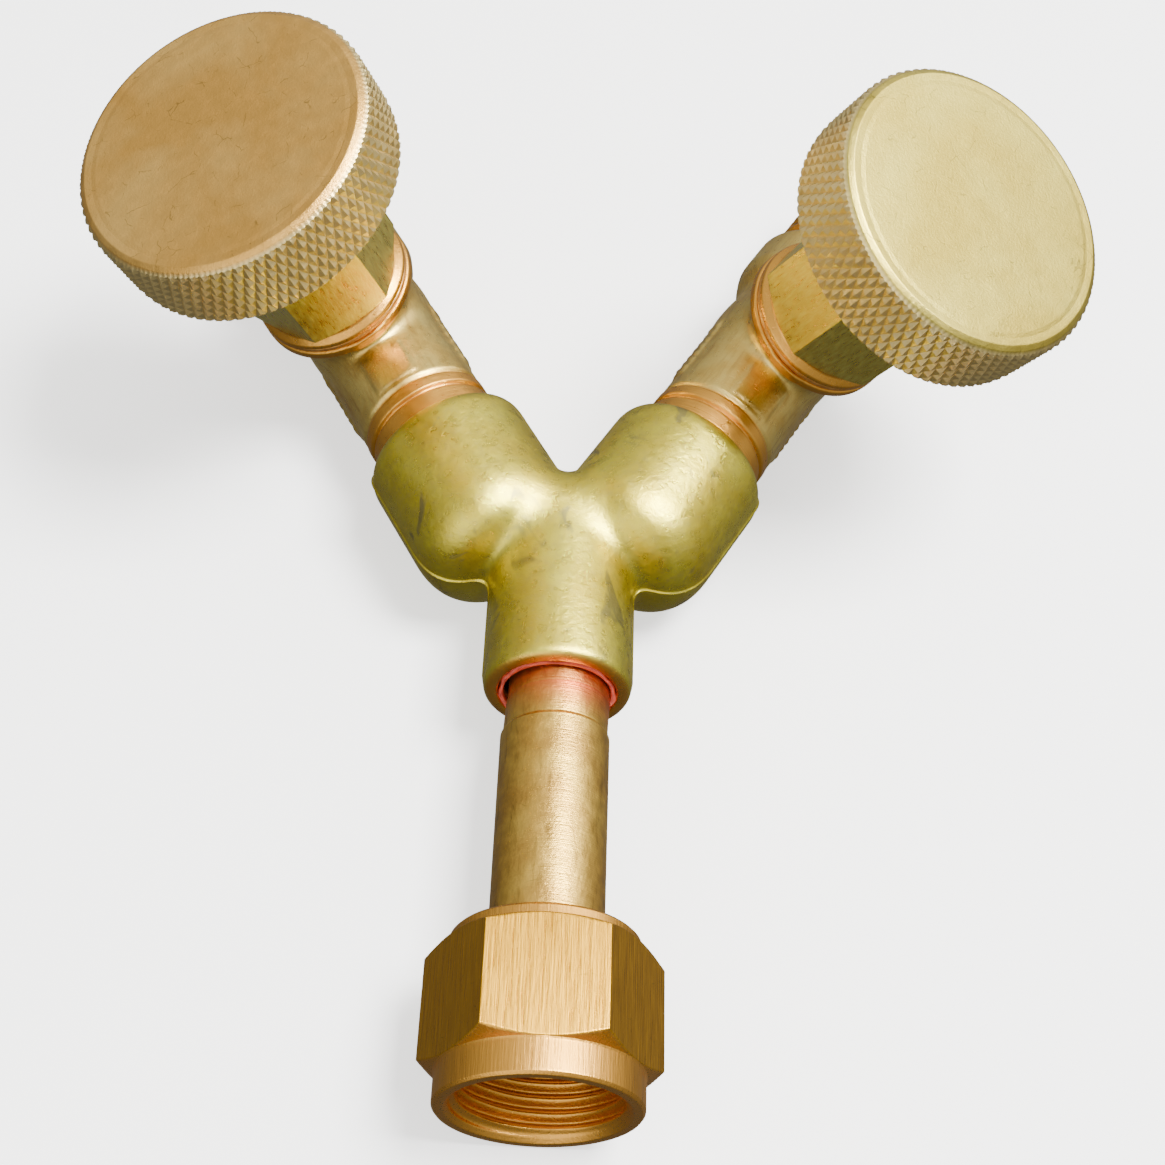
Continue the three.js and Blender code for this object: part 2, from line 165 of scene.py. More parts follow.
def new_object(name, vertices, faces, matrix, zone=None):
    """A mesh object from points in millimetres, with an optional finish mask on its points"""
    mesh = bpy.data.meshes.new(name)
    mesh.from_pydata((np.asarray(vertices) * MM).tolist(), [], faces)
    if zone is not None:
        mesh.attributes.new("zone", "FLOAT", "POINT").data.foreach_set("value", zone.astype(np.float32))
    obj = bpy.data.objects.new(name, mesh)
    bpy.context.scene.collection.objects.link(obj)
    obj.matrix_world = matrix
    edit = bmesh.new()
    edit.from_mesh(mesh)
    bmesh.ops.remove_doubles(edit, verts=edit.verts, dist=MERGE_DISTANCE)
    bmesh.ops.dissolve_degenerate(edit, edges=edit.edges, dist=SHORTEST_EDGE)
    edit.to_mesh(mesh)
    edit.free()
    mesh.shade_smooth()
    return obj


def grid_faces(rows, columns, closed):
    """Quads over a grid whose columns go all the way round"""
    i = np.arange(rows if closed else rows - 1)[:, None]
    j = np.arange(columns)[None, :]
    next_i, next_j = (i + 1) % rows, (j + 1) % columns
    corners = (i * columns + j, i * columns + next_j, next_i * columns + next_j, next_i * columns + j)
    return np.stack(np.broadcast_arrays(*corners), axis=-1).reshape(-1, 4)


def turned(name, points, angles, matrix, shape=None, zone=None, closed=False):
    """Sweeps a profile round Z. shape(radius, height, angle) changes the radius, zone gives the mask."""
    radius, height = np.broadcast_arrays(points[:, :1], points[:, 1:2])
    angle = np.broadcast_to(angles, (len(points), len(angles)))
    height = np.broadcast_to(height, angle.shape)
    radius = np.broadcast_to(radius, angle.shape)
    mask = zone(radius, height, angle).ravel() if zone else None
    if shape:
        radius = shape(radius, height, angle)
    vertices = np.stack([radius * np.cos(angle), radius * np.sin(angle), height], axis=-1).reshape(-1, 3)
    faces = grid_faces(len(points), len(angles), closed).tolist()
    obj = new_object(name, vertices, faces, matrix, mask)
    weighted = obj.modifiers.new("weighted_normals", "WEIGHTED_NORMAL")
    weighted.keep_sharp = True
    return obj


def flat_radius(angle, across_flats, clock):
    """Distance from the axis to a hexagon's outline"""
    turn = (angle - clock + TAU / 12) % (TAU / 6) - TAU / 12
    return across_flats / 2 / np.cos(turn)


def thread_ridge(height, angle, pitch):
    """0 in the root of a right-hand thread and 1 on its crest"""
    wave = np.abs(2 * ((height / pitch - angle / TAU) % 1) - 1)
    return np.clip(1.3 * wave - 0.15, 0, 1)


def window(value, low, high, edge):
    """1 between low and high, fading to 0 over edge"""
    return np.clip((value - low) / edge, 0, 1) * np.clip((high - value) / edge, 0, 1)


# ---------------------------------------------------------------------------------------------
# Forged shapes: a distance field sampled on a grid, meshed and pulled onto its zero surface
# ---------------------------------------------------------------------------------------------


def uneven(*stretches):
    """Grid lines from (start, end, spacing) stretches that follow one another"""
    parts = [np.linspace(a, b, max(2, round((b - a) / s) + 1))[:-1] for a, b, s in stretches]
    return np.concatenate(parts + [[stretches[-1][1]]])


def laid_along(values, axis):
    """A list of numbers shaped to spread along one axis of a 3-D grid"""
    return values.reshape([-1 if other == axis else 1 for other in range(3)])


def cell_points(values, axes):
    """The middle of the crossings in each cell, and which cells have any"""
    shape = tuple(size - 1 for size in values.shape)
    total, count = np.zeros((3, *shape)), np.zeros(shape)
    for axis in range(3):
        others = [other for other in range(3) if other != axis]
        low = np.take(values, range(shape[axis]), axis)
        high = np.take(values, range(1, shape[axis] + 1), axis)
        crossing = (low < 0) != (high < 0)
        share = np.where(crossing, low / np.where(crossing, low - high, 1), 0)
        start = laid_along(axes[axis][:-1], axis)
        step = laid_along(np.diff(axes[axis]), axis)
        along = np.where(crossing, start + share * step, 0)
        for first in (0, 1):
            for second in (0, 1):
                cut = [slice(None)] * 3
                cut[others[0]] = slice(first, first + shape[others[0]])
                cut[others[1]] = slice(second, second + shape[others[1]])
                cut = tuple(cut)
                count += crossing[cut]
                total[axis] += along[cut]
                for other, offset in zip(others, (first, second)):
                    grid = axes[other][offset:offset + shape[other]]
                    total[other] += crossing[cut] * laid_along(grid, other)
    return total, count


def net_quads(values, index):
    """A quad round each grid edge that crosses the surface, facing outwards"""
    quads = []
    for axis in range(3):
        u, v = (axis + 1) % 3, (axis + 2) % 3
        size = values.shape
        low = np.take(values, range(size[axis] - 1), axis) < 0
        high = np.take(values, range(1, size[axis]), axis) < 0
        inner = [slice(None)] * 3
        inner[u], inner[v] = slice(1, size[u] - 1), slice(1, size[v] - 1)
        places = np.argwhere((low != high)[tuple(inner)])
        places[:, u] += 1
        places[:, v] += 1
        outwards = low[tuple(places.T)]
        ring = []
        for du, dv in ((1, 1), (0, 1), (0, 0), (1, 0)):
            cell = places.copy()
            cell[:, u] -= du
            cell[:, v] -= dv
            ring.append(index[tuple(cell.T)])
        ring = np.stack(ring, axis=-1)
        quads.append(np.where(outwards[:, None], ring, ring[:, ::-1]))
    return np.concatenate(quads)


def relaxed(points, quads):
    """Each point moved halfway to the middle of its neighbours"""
    total, count = np.zeros_like(points), np.zeros(len(points))
    for a in range(4):
        for b in ((a + 1) % 4, (a + 3) % 4):
            np.add.at(total, quads[:, a], points[quads[:, b]])
            np.add.at(count, quads[:, a], 1)
    return (points + total / count[:, None]) / 2


def pulled(points, field, reach=0.25, nudge=0.02):
    """The points moved onto the field's zero surface along its slope"""
    value = field(*points.T)
    slope = np.stack([
        (field(*(points + offset).T) - field(*(points - offset).T)) / (2 * nudge)
        for offset in np.eye(3) * nudge
    ], axis=-1)
    steepness = np.maximum((slope ** 2).sum(axis=1), 0.05)
    move = slope * (value / steepness)[:, None]
    length = np.maximum(np.linalg.norm(move, axis=1), 1e-9)
    return points - move * np.minimum(1, reach / length)[:, None]


def forged(name, field, axes, matrix, zone):
    """A closed mesh over the zero surface of a field"""
    grid = np.meshgrid(*axes, indexing="ij")
    values = field(*grid)
    total, count = cell_points(values, axes)
    used = count > 0
    index = np.full(used.shape, -1)
    index[used] = np.arange(used.sum())
    points = (total[:, used] / count[used]).T
    quads = net_quads(values, index)
    for _ in range(2):
        points = relaxed(points, quads)
        points = pulled(points, field)
    points = pulled(points, field)
    return new_object(name, points, quads.tolist(), matrix, zone(*points.T))


def bar(radial, along, radius, start, end, start_round, end_round):
    """A round bar with rounded ends"""
    field = smooth_max(radial - radius, start - along, start_round)
    return smooth_max(field, along - end, end_round)


# ---------------------------------------------------------------------------------------------
# Wye
# ---------------------------------------------------------------------------------------------

LEG_RADIUS = 9.2
LEG_FROM = 9.6
LEG_TO = 27.4
STEM_RADIUS = 7.5
STEM_END = -7.6
FLASH_HEIGHT = 0.16
FLASH_WIDTH = 0.16
SOCKET_RADIUS = 7.15
SOCKET_FROM = 15.5
GAS_WAY = 3
COUNTERBORE = 5.95
COUNTERBORE_DEPTH = 1.1
TAPPED_RADIUS = 5.45
TAPPED_TO = 0.2


def leg_coordinates(x, y, z, sign):
    """Distance from a leg's axis, and how far along it"""
    along = sign * x * math.sin(FORK_HALF_ANGLE) + y * math.cos(FORK_HALF_ANGLE)
    across = sign * x * math.cos(FORK_HALF_ANGLE) - y * math.sin(FORK_HALF_ANGLE)
    return np.hypot(across, z), along


def wye_field(x, y, z):
    legs = []
    holes = []
    for sign in (-1, 1):
        radial, along = leg_coordinates(x, y, z, sign)
        legs.append(bar(radial, along, LEG_RADIUS, LEG_FROM, LEG_TO, 6.2, 2.2))
        socket = np.maximum(radial - SOCKET_RADIUS, SOCKET_FROM - along)
        holes += [socket, np.maximum(radial - GAS_WAY, -along)]
    radial = np.hypot(x, z)
    stem = bar(radial, y, STEM_RADIUS, STEM_END, 16.5, 1.1, 5)
    body = smooth_min(smooth_min(legs[0], legs[1], 1.8), stem, 2.2)
    body = body - FLASH_HEIGHT * np.exp(-((z / FLASH_WIDTH) ** 2)) * window(y, -6.8, 60, 1)
    counterbore = np.maximum(radial - COUNTERBORE, y - STEM_END - COUNTERBORE_DEPTH)
    tapped = np.maximum(radial - TAPPED_RADIUS, y - TAPPED_TO)
    for hole in (counterbore, tapped, *holes):
        body = smooth_max(body, -hole, 0.45)
    return body


def wye_zone(x, y, z):
    """1 on the faces and bores that a cutter has been over"""
    cut = np.clip((STEM_END + 0.45 - y) / 0.3, 0, 1)
    for sign in (-1, 1):
        _, along = leg_coordinates(x, y, z, sign)
        cut = np.maximum(cut, np.clip((along - LEG_TO + 0.12) / 0.1, 0, 1))
    return np.maximum(cut, np.clip((6.4 - np.hypot(x, z)) / 0.1, 0, 1) * (y < 0))


def make_wye():
    fine = 0.32
    axes = (
        uneven((-23.5, 23.5, fine)),
        uneven((-8.2, 31, fine)),
        uneven((-9.9, -0.6, fine), (-0.6, 0.6, 0.08), (0.6, 9.9, fine)),
    )
    return forged("wye_forging", wye_field, axes, fork_frame, wye_zone)


# ---------------------------------------------------------------------------------------------
# Valve bodies
# ---------------------------------------------------------------------------------------------

BODY_OUTLINE = rounded([
    (6.2, -31), (6.85, -29.6), (6.85, -19.4), (7.2, -19.2), (7.2, -17.1), (6.85, -16.95, 0.05),
    (6.85, -16.75, 0.05), (7.3, -16.6, 0.25), (7.3, -15.2, 0.25), (6.9, -15.05, 0.05),
    (6.9, -14.85, 0.05), (7.2, -14.4, 0.6), (7.15, 3.6, 1.0), (7.6, 4.9, 0.8), (8.4, 6.1, 0.8),
    (8.9, 7.4, 1.2), (8.9, 11.9, 1.2), (8.4, 12.9, 0.6), (6.95, 13.2, 0.3), (6.95, 14.2, 0.3),
    (7.94, 15.2, 0.2), (7.94, 29.7, 0.2), (7.3, 30.4), (7.2, 31),
])
BOSS_OUTLINE = rounded([
    (6.9, -3), (6.9, 5.6, 1), (7.5, 7.6, 0.8), (8.6, 8.7, 0.4), (8.95, 8.95, 0.3),
    (8.95, 9.9, 0.12), (8.8, 10.2),
])
MOUTH_OUTLINE = [(0.5, 19), (4.4, 21.4), (4.4, 27.4), (5.6, 30.5), (5.7, 31)]
BODY_END = 30.4
PAD_HEIGHT = 0.16
RIB_HEIGHT = 0.34
RIB_TURN = TAU / 1.25  # radians to a millimetre, for a rib every 1.25 mm
CHAMBER_RADIUS = 5.9
CHAMBER_FLOOR = 0.6
BOSS_TOP = 10.0


def radius_at(outline, height):
    outline = np.asarray(outline)
    return np.interp(height, outline[:, 1], outline[:, 0])


def body_field(x, y, z):
    leg_radial, knob_radial = np.hypot(x, z), np.hypot(x, y)
    angle = np.arctan2(-x, z)
    root = (1 - thread_ridge(y, angle, UNF_PITCH)) * window(y, 15.4, 29.6, 0.6) * UNF_DEPTH
    body = np.maximum(leg_radial - radius_at(BODY_OUTLINE, y) + root, y - BODY_END)
    body = np.maximum(body, -BODY_END - y)
    boss = np.maximum(knob_radial - radius_at(BOSS_OUTLINE, z), -2 - z)
    boss = smooth_max(boss, z - BOSS_TOP, 0.3)
    body = smooth_min(body, boss, 2.0)
    pad = window(x, -2.7, 2.7, 0.35) * window(y, -14.0, -8.6, 0.35) * (z > 0)
    ribs = window(z, -1.3, 1.3, 0.3) * window(y, -12.5, -2.5, 0.4)
    ribs = ribs * (0.75 + 0.25 * np.cos(RIB_TURN * y))
    body = body - PAD_HEIGHT * pad - RIB_HEIGHT * ribs
    chamber = np.maximum(knob_radial - CHAMBER_RADIUS, CHAMBER_FLOOR - z)
    mouth = np.maximum(leg_radial - radius_at(MOUTH_OUTLINE, y), 19 - y)
    way_in = np.maximum(np.hypot(x, z + 2.9) - 2.1, y - 2)
    way_out = np.maximum(np.hypot(x, z - 2.2 - 0.14 * y) - 1.8, np.maximum(4 - y, y - 22))
    for hole in (chamber, mouth, way_in, way_out):
        body = smooth_max(body, -hole, 0.3)
    return body


def body_zone(x, y, z):
    """1 where the body has been turned: the leg rings, the boss rim and the outlet"""
    knob_radial, leg_radial = np.hypot(x, y), np.hypot(x, z)
    rings = window(y, -40, -14.7, 0.15) * (leg_radial < 7.6)
    rim = window(z, 8.75, 20, 0.2) * (knob_radial < 9.2)
    outlet = window(y, 12.9, 60, 0.2)
    return np.maximum(np.maximum(rings, rim), outlet)


def make_body(side):
    axes = (
        uneven((-9.3, 9.3, 0.33)),
        uneven((-31, -19.6, 0.5), (-19.6, -14, 0.15), (-14, 6, 0.36), (6, 14.8, 0.27), (14.8, 31, 0.16)),
        uneven((-9.3, 8.2, 0.33), (8.2, 10.6, 0.15)),
    )
    return forged(side + "_body_forging", body_field, axes, valve_frames[side], body_zone)


# ---------------------------------------------------------------------------------------------
# Inlet nut, nipple and sealant
# ---------------------------------------------------------------------------------------------


def make_nut():
    flat, corner = NUT_FLATS / 2, NUT_FLATS / 2 / math.cos(math.pi / 6)
    rise = (corner - flat) * math.tan(math.pi / 6)
    clock = math.radians(30)
    outline = rounded([
        (9.15, 0), (9.4, 0.3), (9.4, 3.1, 0.1), (flat - 0.05, 3.3, 0.05), (corner + 0.2, 3.4 + rise),
        (corner + 0.2, 14.5 - rise), (flat - 0.05, 14.6, 0.05), (8.9, 14.8, 0.1), (8.9, 15.6),
        (8.6, 15.9), (6.1, 15.9), (5.72, 15.5), (5.72, 11.6), (6.0, 11.4), (7.6, 11.3), (7.6, 11.0),
        (7.3, 10.6), (7.3, 1.1), (8.3, 0.05), (8.4, 0),
    ], closed=True)
    outline = np.concatenate([outline, outline[:1]])
    outline = divided(outline, 0.1, 2.9, 3.6 + rise)
    outline = divided(outline, 0.1, 14.2 - rise, 15)
    outline = divided(outline, UNF_PITCH / 10, 0.3, 11)[:-1]

    def shape(radius, height, angle):
        outer = smooth_min(radius, flat_radius(angle, NUT_FLATS, clock), 0.14)
        groove = thread_ridge(height, angle, UNF_PITCH) * window(height, 0.5, 10.8, 0.6) * UNF_DEPTH
        return np.where(radius > 8.45, outer, radius + groove * (radius < 8.2) * (radius > 7.2))

    def zone(radius, height, angle):
        return (radius > flat_radius(angle, NUT_FLATS, clock) - 0.02).astype(float)

    return turned("swivel_nut", outline, hexagon_angles(clock), inlet_frame, shape, zone, closed=True)


NIPPLE_THREAD_FROM = 40.2


def make_nipple():
    outline = rounded([
        (2.4, 4.7), (2.8, 4.5), (4.2, 4.6, 1.4), (6.7, 8.0, 0.3), (6.7, 11.1), (5.42, 11.1, 0.1),
        (5.42, 37.5, 0.3), (5.2, 37.85, 0.1), (5.2, 41.3, 0.1), (5.15, 41.4), (5.1, 50.0), (4.8, 50.2),
        (2.4, 50.2),
    ], closed=True)
    outline = np.concatenate([outline, outline[:1]])
    outline = divided(outline, 0.09, 39.9, 45.5)[:-1]

    def shape(radius, height, angle):
        ridge = thread_ridge(height, angle, NPT_PITCH) * window(height, NIPPLE_THREAD_FROM, 60, 0.4)
        threaded = (height > NIPPLE_THREAD_FROM) * (radius < 5.3)
        return np.where(radius > 5, radius + (ridge - 0.6) * 0.45 * threaded, radius)

    def zone(radius, height, angle):
        red = 0.25 + 0.75 * thread_ridge(height, angle, NPT_PITCH)
        return window(height, 40.3, 43.6, 0.3) * (radius > 4.9) * red

    return turned("nipple_tube", outline, even_angles(128), inlet_frame, shape, zone, closed=True)


def make_sealant():
    outline = rounded([(5.4, 42.86), (5.9, 42.84), (6.15, 43.05), (6.1, 43.6), (5.42, 43.7)], 0.25, True)

    def shape(radius, height, angle):
        squeeze = 0.5 + 0.3 * np.sin(5 * angle + 0.7) + 0.2 * np.sin(13 * angle)
        return np.where(radius > 5.5, 5.5 + (radius - 5.5) * (0.35 + 0.65 * squeeze), radius)

    return turned("sealant_bead", outline, even_angles(160), inlet_frame, shape, None, closed=True)


# ---------------------------------------------------------------------------------------------
# Bonnet, gasket, stem, seals and seat, up the knob axis
# ---------------------------------------------------------------------------------------------


def make_bonnet(side):
    flat, corner = BONNET_FLATS / 2, BONNET_FLATS / 2 / math.cos(math.pi / 6)
    rise = (corner - flat) * math.tan(math.pi / 6)
    clock = BONNET_CLOCK[side]
    outline = rounded([
        (5.2, 6.2), (5.6, 6.6), (5.6, 10.62, 0.1), (8.75, 10.65, 0.1), (8.85, 10.8, 0.1), (8.8, 11.2, 0.4),
        (8.15, 11.75, 0.4), (8.0, 11.97, 0.1), (corner + 0.2, 12.1 + rise, 0.1), (corner + 0.2, 24.4),
        (7.4, 25.2), (3.7, 25.2), (3.5, 25.0), (3.5, 18.1), (4.27, 17.8), (4.27, 12.3), (4.6, 12.0),
        (4.6, 6.4),
    ], closed=True)
    outline = np.concatenate([outline, outline[:1]])
    outline = divided(outline, 0.09, 11.9, 12.3 + rise)
    outline = divided(outline, 0.12, 24.2, 25.1)[:-1]

    def shape(radius, height, angle):
        outer = smooth_min(radius, flat_radius(angle, BONNET_FLATS, clock), 0.12)
        return np.where((height > 12) & (radius > 6), outer, radius)

    def zone(radius, height, angle):
        return ((radius > flat_radius(angle, BONNET_FLATS, clock) - 0.02) & (height > 12)).astype(float)

    columns = hexagon_angles(clock)
    return turned(side + "_bonnet_hex", outline, columns, valve_frames[side], shape, zone, closed=True)


def make_gasket(side):
    outline = rounded([(6.1, 10.05), (8.7, 10.05), (8.82, 10.3), (8.74, 10.6), (6.1, 10.62)], 0.1, True)
    return turned(side + "_gasket_ring", outline, even_angles(128), valve_frames[side], closed=True)


def make_stem(side):
    grooves = []
    for height in O_RING_HEIGHTS.values():
        grooves += [(3.2, height - 0.7), (2.0, height - 0.7), (2.0, height + 0.7), (3.2, height + 0.7)]
    outline = rounded([
        (0, 6.7), (2.3, 6.7), (2.3, 7.7), (1.5, 7.75), (1.5, 9.6), (3.4, 9.65), (3.97, 10.1),
        (3.97, 14.3), (3.2, 14.8), *grooves, (3.2, 26.5), (2.7, 26.6), (2.7, 33.5), (2.4, 33.8), (0, 33.8),
    ], 0.08, steps=2)
    outline = divided(outline, STEM_PITCH / 8, 10.0, 14.4)

    def shape(radius, height, angle):
        root = (1 - thread_ridge(height, angle, STEM_PITCH)) * window(height, 9.9, 14.6, 0.4)
        return radius - root * 0.55 * (radius > 3.3)

    return turned(side + "_stem_screw", outline, even_angles(64), valve_frames[side], shape)


def make_o_ring(side, label, height):
    around = np.arange(16) * TAU / 16
    outline = np.stack([2.7 + 0.6 * np.cos(around), height + 0.5 * np.sin(around)], axis=-1)
    name = side + "_o_ring_" + label
    return turned(name, outline, even_angles(64), valve_frames[side], closed=True)


def make_holder(side):
    outline = rounded([
        (3.5, 2.2), (4.1, 2.2), (4.3, 2.5), (4.3, 8.8), (4.0, 9.1), (1.8, 9.1), (1.8, 8.0), (2.6, 7.95),
        (2.6, 6.4), (1.2, 6.35), (1.2, 3.25), (3.5, 3.2),
    ], 0.08, True)
    return turned(side + "_seat_cup", outline, even_angles(64), valve_frames[side], closed=True)


def make_disc(side):
    outline = rounded([(0, 1.5), (3.2, 1.5), (3.2, 2.9), (0, 2.9)], 0.15)
    return turned(side + "_seat_washer", outline, even_angles(64), valve_frames[side])


# ---------------------------------------------------------------------------------------------
# Knob: flat face, rolled edge, diamond knurl
# ---------------------------------------------------------------------------------------------


def knurl_radius(height, angle):
    """Pyramids between two crossing sets of V grooves"""
    around = KNURL_TEETH * angle / TAU
    up = (height - KNOB_BOTTOM) / KNURL_PERIOD
    grooves = [np.abs(1 - 2 * ((around + sign * up) % 1)) for sign in (-1, 1)]
    return KNOB_RADIUS - KNURL_DEPTH * np.maximum(*grooves)


def make_knob(side):
    step = KNURL_PERIOD / KNURL_STEPS
    rows = KNOB_BOTTOM + step * np.arange(1, 26)
    rim = [(KNOB_RADIUS, height, 0) for height in rows]
    under = rounded([
        (0, 34.1), (2.9, 34.1), (3.0, 27), (3.2, 26.8), (5.7, 26.8), (6.0, 27.1), (6.0, 29.6, 1),
        (7.3, 31.8, 1), (12.4, 31.8, 1), (13.2, 28.9, 0.5), (13.5, 28.42, 0.2), (15.4, 28.4, 0.1),
        (15.75, 28.45, 0.05),
    ], 0.2, steps=3)
    over = rounded([
        (KNOB_RADIUS, rows[-1]), (15.75, 36.3, 0.15), (15.35, 36.68, 0.3), (KNOB_FACE + 0.1, 36.98, 0.3),
        (KNOB_FACE - 0.7, 36.93, 0.3), (KNOB_FACE - 1.2, 36.98, 0.3), (10, 36.97), (4, 36.98), (0, 36.99),
    ], 0.3, steps=3)
    outline = np.concatenate([under, np.array(rim)[:, :2], over[1:]])

    def shape(radius, height, angle):
        lower_edge = KNOB_RADIUS - 0.25 + (height - KNOB_BOTTOM) * 0.8
        cut = np.minimum(knurl_radius(height, angle), lower_edge)
        return np.where(radius > 15.3, np.minimum(radius, cut), radius)

    def zone(radius, height, angle):
        return ((radius > 15.2) & (height < 36.5)).astype(float)

    columns = KNURL_TEETH * KNURL_STEPS
    obj = turned(side + "_knurled_knob", outline, even_angles(columns), valve_frames[side], shape, zone)
    facet_knurl(obj)
    return obj


def facet_knurl(obj):
    """Splits the knurl's quads along their grooves and leaves their faces flat"""
    mesh = obj.data
    edit = bmesh.new()
    edit.from_mesh(mesh)
    layer = edit.verts.layers.float["zone"]
    faces = [face for face in edit.faces if all(vertex[layer] > 0.5 for vertex in face.verts)]
    split = bmesh.ops.triangulate(edit, faces=faces, quad_method="SHORT_EDGE")
    for face in split["faces"]:
        face.smooth = False
    edit.to_mesh(mesh)
    edit.free()


# ---------------------------------------------------------------------------------------------
# Materials
# ---------------------------------------------------------------------------------------------


class Finish:
    """A Principled material built up from procedural nodes, in millimetres of the piece's own frame"""

    def __init__(self, name, seed=0.0):
        self.material = bpy.data.materials.new(name)
        self.material.use_nodes = True
        self.tree = self.material.node_tree
        self.shader = self.tree.nodes["Principled BSDF"]
        place = self.node("ShaderNodeTexCoord").outputs["Object"]
        mapping = self.node("ShaderNodeMapping", Vector=place, Scale=(1 / MM,) * 3)
        mapping.inputs["Location"].default_value = (seed, seed * 0.7, -seed)
        self.place = mapping.outputs[0]

    def node(self, kind, settings=None, **inputs):
        node = self.tree.nodes.new(kind)
        for key, value in (settings or {}).items():
            setattr(node, key, value)
        for key, value in inputs.items():
            self.feed(node.inputs[key], value)
        return node

    def feed(self, socket, value):
        if isinstance(value, bpy.types.NodeSocket):
            self.tree.links.new(value, socket)
        else:
            socket.default_value = value

    def stretched(self, scale, turn=(0, 0, 0)):
        """The piece's own coordinates, scaled unevenly for streaks"""
        return self.node("ShaderNodeMapping", Vector=self.place, Scale=scale, Rotation=turn).outputs[0]

    def noise(self, scale, detail=3, rough=0.55, distortion=0.0, place=None):
        node = self.node("ShaderNodeTexNoise", Vector=place or self.place, Scale=scale, Detail=detail)
        node.inputs["Roughness"].default_value = rough
        node.inputs["Distortion"].default_value = distortion
        return node.outputs["Fac"]

    def cracks(self, scale, width, keep):
        """Thin wandering lines, kept only in scattered patches"""
        bend = self.node("ShaderNodeVectorMath", {"operation": "ADD"})
        self.feed(bend.inputs[0], self.place)
        wander = self.node("ShaderNodeTexNoise", Vector=self.place, Scale=0.6, Detail=2)
        self.feed(bend.inputs[1], wander.outputs["Color"])
        cells = self.node("ShaderNodeTexVoronoi", {"feature": "DISTANCE_TO_EDGE"}, Scale=scale)
        self.feed(cells.inputs["Vector"], bend.outputs[0])
        line = self.span(cells.outputs["Distance"], 0.0, width, 1.0, 0.0)
        patch = self.span(self.noise(scale * 1.7, 2), keep, keep + 0.05, 0.0, 1.0)
        return self.math("MULTIPLY", line, patch)

    def span(self, value, low, high, to_low=0.0, to_high=1.0):
        node = self.node("ShaderNodeMapRange", Value=value)
        limits = {"From Min": low, "From Max": high, "To Min": to_low, "To Max": to_high}
        for key, number in limits.items():
            node.inputs[key].default_value = number
        return node.outputs[0]

    def math(self, operation, a, b):
        node = self.node("ShaderNodeMath", {"operation": operation, "use_clamp": False})
        self.feed(node.inputs[0], a)
        self.feed(node.inputs[1], b)
        return node.outputs[0]

    def mix(self, a, b, share):
        node = self.node("ShaderNodeMix", {"data_type": "RGBA"})
        self.feed(node.inputs[0], share)
        self.feed(node.inputs[6], a)
        self.feed(node.inputs[7], b)
        return node.outputs[2]

    def zone(self):
        return self.node("ShaderNodeAttribute", {"attribute_name": "zone"}).outputs["Fac"]

    def finish(self, color, roughness, bump=None, strength=0.2, metallic=1.0):
        self.feed(self.shader.inputs["Base Color"], color)
        self.feed(self.shader.inputs["Roughness"], roughness)
        self.shader.inputs["Metallic"].default_value = metallic
        if bump is not None:
            node = self.node("ShaderNodeBump", Height=bump)
            node.inputs["Strength"].default_value = strength
            node.inputs["Distance"].default_value = BUMP_DEPTH * MM
            self.feed(self.shader.inputs["Normal"], node.outputs[0])
        return self.material


def rgb(red, green, blue):
    """A colour as linear light, from the usual 0 to 255 numbers"""
    return (*(((value / 255 + 0.055) / 1.055) ** 2.4 for value in (red, green, blue)), 1.0)


FORGED_LIGHT = rgb(240, 226, 84)
FORGED_DARK = rgb(224, 200, 66)
SATIN_LIGHT = rgb(246, 218, 126)
SATIN_DARK = rgb(228, 190, 98)
COPPERY = rgb(230, 168, 72)
GRIME = rgb(74, 62, 30)


def forged_brass():
    look = Finish("forged_brass", 3.0)
    tone = look.mix(FORGED_DARK, FORGED_LIGHT, look.span(look.noise(0.16, 4), 0.35, 0.65))
    tone = look.mix(tone, rgb(216, 198, 96), look.span(look.noise(1.1, 5, 0.65), 0.45, 0.75, 0, 0.6))
    specks = look.span(look.noise(3.2, 3, 0.7), 0.66, 0.74, 0, 0.55)
    tone = look.mix(tone, GRIME, specks)
    tone = look.mix(tone, GRIME, look.math("MULTIPLY", look.cracks(0.35, 0.012, 0.6), 0.4))
    smudge = look.span(look.noise(0.22, 3, 0.6, 0.6, look.stretched((1, 0.6, 1))), 0.61, 0.68, 0, 0.6)
    tone = look.mix(tone, rgb(128, 122, 104), smudge)
    tone = look.mix(tone, COPPERY, look.zone())
    rough = look.span(look.noise(0.8, 4), 0.3, 0.7, 0.24, 0.37)
    grain = look.math("ADD", look.noise(1.6, 6, 0.7), look.math("MULTIPLY", look.noise(7.0, 3), 0.2))
    return look.finish(tone, rough, grain, 0.6)


def satin_brass(name, seed):
    look = Finish(name, seed)
    tone = look.mix(SATIN_DARK, SATIN_LIGHT, look.span(look.noise(0.22, 4), 0.36, 0.64))
    streaks = look.noise(1.0, 4, 0.6, 0.3, look.stretched((1.6, 0.22, 1.6)))
    tone = look.mix(tone, rgb(190, 146, 72), look.span(streaks, 0.5, 0.75, 0, 0.6))
    tone = look.mix(tone, GRIME, look.span(look.noise(4.5, 3, 0.7), 0.68, 0.76, 0, 0.4))
    tone = look.mix(tone, COPPERY, look.zone())
    rings = look.noise(6, 2, 0.5, 0, look.stretched((0.04, 1.6, 0.04)))
    rough = look.span(look.noise(1.2, 4), 0.3, 0.7, 0.26, 0.38)
    grain = look.math("ADD", look.noise(2.6, 5, 0.7), look.math("MULTIPLY", rings, look.zone()))
    return look.finish(tone, rough, grain, 0.35)


